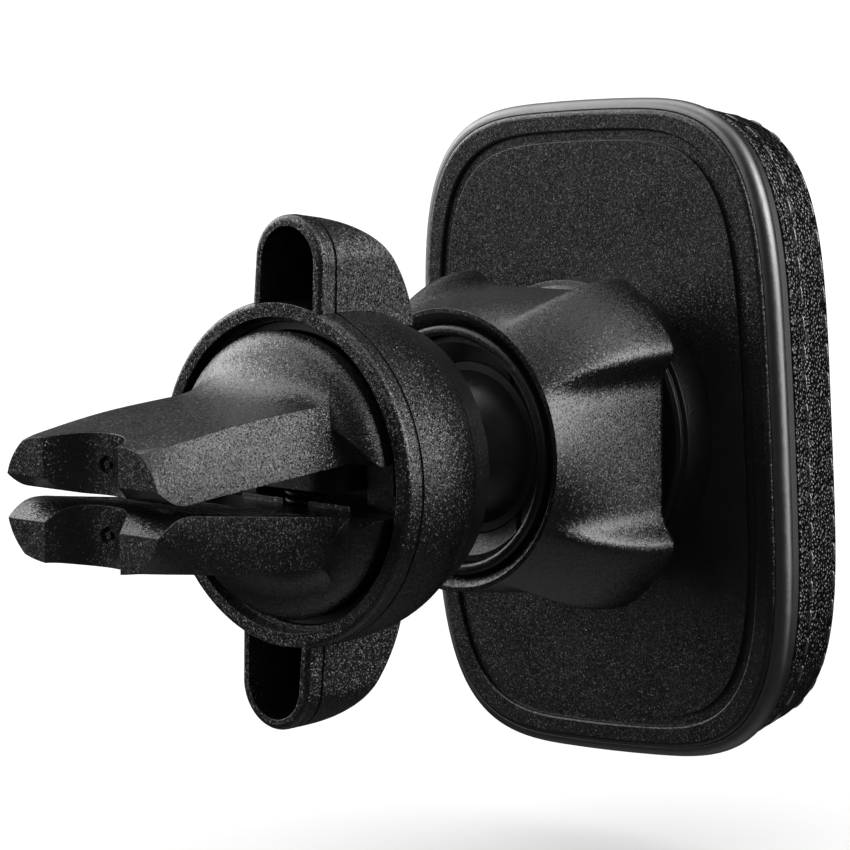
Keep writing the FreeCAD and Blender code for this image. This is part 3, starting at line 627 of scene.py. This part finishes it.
# --- studio ------------------------------------------------------------------------------------------
def view_axes():
    """Right, up and backward directions of the camera."""
    az = math.radians(CAMERA_AZIMUTH)
    el = math.radians(CAMERA_ELEVATION)
    roll = math.radians(CAMERA_ROLL)
    back = Vector((-math.sin(az) * math.cos(el), math.cos(az) * math.cos(el), math.sin(el)))
    right = (-back).cross(Vector((0, 0, 1))).normalized()
    up = right.cross(-back)
    rolled_right = right * math.cos(roll) + up * math.sin(roll)
    rolled_up = up * math.cos(roll) - right * math.sin(roll)
    return rolled_right, rolled_up, back


def camera():
    right, up, back = view_axes()
    data = bpy.data.cameras.new("camera")
    data.lens = CAMERA_LENS
    data.sensor_width = CAMERA_SENSOR
    data.clip_start = CAMERA_NEAR
    obj = bpy.data.objects.new("camera", data)
    turn = Matrix((right, up, back)).transposed()
    stand = (Vector(CAMERA_TARGET) + back * CAMERA_DISTANCE) * MM
    obj.matrix_world = Matrix.Translation(stand) @ turn.to_4x4()
    bpy.context.scene.collection.objects.link(obj)
    bpy.context.scene.camera = obj


class Surroundings(Tree):
    """World shader: pale for the eye and the floor, soft lamps in the dark for reflections."""

    def __init__(self):
        self.world = bpy.data.worlds.new("studio")
        self.world.use_nodes = True
        super().__init__(self.world.node_tree)
        spot = self.add("ShaderNodeTexCoord")
        self.sight = self.add("ShaderNodeVectorMath", operation="NORMALIZE")
        self.join(spot, "Generated", self.sight, 0)
        self.total = None

    def maths(self, operation, first, second):
        """A calculation with two numbers, each given or taken from a node."""
        node = self.add("ShaderNodeMath", operation=operation)
        for i, value in enumerate((first, second)):
            if isinstance(value, (int, float)):
                node.inputs[i].default_value = value
            else:
                self.join(value, "Value", node, i)
        return node

    def glow(self, direction, strength, tightness):
        """Adds a round soft lamp at infinity: strength in the middle, falling off with the angle."""
        towards = self.add("ShaderNodeVectorMath", operation="DOT_PRODUCT")
        self.join(self.sight, "Vector", towards, 0)
        towards.inputs[1].default_value = Vector(direction).normalized()
        lit = self.maths("POWER", self.maths("MAXIMUM", towards, 0), tightness)
        lit = self.maths("MULTIPLY", lit, strength)
        self.total = lit if self.total is None else self.maths("ADD", self.total, lit)

    def finish(self, pale_strength):
        """Shows mirror-like rays the lamps and all other rays the pale surroundings."""
        pale = self.add("ShaderNodeBackground")
        pale.inputs["Strength"].default_value = pale_strength
        mirrored = self.add("ShaderNodeBackground")
        self.join(self.total, "Value", mirrored, "Strength")
        for background in (pale, mirrored):
            background.inputs["Color"].default_value = (1, 1, 1, 1)
        rays = self.add("ShaderNodeLightPath")
        pick = self.add("ShaderNodeMixShader")
        out = self.add("ShaderNodeOutputWorld")
        self.join(rays, "Is Glossy Ray", pick, 0)
        self.join(pale, "Background", pick, 1)
        self.join(mirrored, "Background", pick, 2)
        self.join(pick, "Shader", out, "Surface")
        bpy.context.scene.world = self.world


def studio():
    """Soft lamps, each named for what it lights, as (direction, strength, tightness)."""
    glows = {
        "top": ((0, 0.1, 1), 1.2, 14),
        "high spot": ((0.2, 0.2, 0.96), 2.4, 40),
        "dome, from above": ((0.44, -0.13, 0.89), 3.2, 16),
        "jaws, from the left": ((0.9, 0.1, 0.4), 6.8, 14),
        "panel, from in front at the left": ((0.5, 0.75, 0.45), 3.6, 18),
        "lobes, from above right": ((-0.45, -0.35, 0.82), 2.2, 18),
        "ball, from the right": ((-0.85, 0.1, 0.6), 1.2, 18),
        "bead, a bright strip at the right": ((-0.86, -0.27, 0.41), 12.0, 26),
        "sides, from the far right": ((-0.785, -0.577, 0.15), 5.0, 26),
        "from below": ((0, 0, -1), 0.35, 4),
    }
    surroundings = Surroundings()
    for direction, strength, tightness in glows.values():
        surroundings.glow(direction, strength, tightness)
    surroundings.finish(PALE_STRENGTH)
    bpy.context.scene.view_settings.view_transform = "Standard"


def floor(low_z):
    """Flat pale plane, low enough for the plate to tilt and spin above it."""
    m = Nodes("pale_floor")
    tint = m.mixed(m.noise(40.0, 2.0), "Fac", grey(0.86), grey(0.9))
    m.join(tint, "Result", m.shader, "Base Color")
    m.put("Roughness", 0.6)
    corners = [(x * FLOOR_HALF, y * FLOOR_HALF, low_z) for x, y in ((-1, -1), (1, -1), (1, 1), (-1, 1))]
    mesh = bpy.data.meshes.new("floor")
    mesh.from_pydata(corners, [], [(0, 1, 2, 3)])
    obj = bpy.data.objects.new("floor", mesh)
    obj.data.materials.append(m.material)
    obj.visible_glossy = False
    bpy.context.scene.collection.objects.link(obj)


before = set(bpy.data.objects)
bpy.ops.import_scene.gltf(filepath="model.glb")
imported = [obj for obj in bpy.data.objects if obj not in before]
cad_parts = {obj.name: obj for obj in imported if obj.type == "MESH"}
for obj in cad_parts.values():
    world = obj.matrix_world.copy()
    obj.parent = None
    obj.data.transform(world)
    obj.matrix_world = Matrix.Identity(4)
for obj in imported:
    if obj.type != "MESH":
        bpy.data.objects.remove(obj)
cad_box = [list(corner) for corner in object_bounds()]
paint_nodes()
leather_cushion()
stitches()
camera()
studio()
floor(cad_box[0][2] - FLOOR_ROOM)
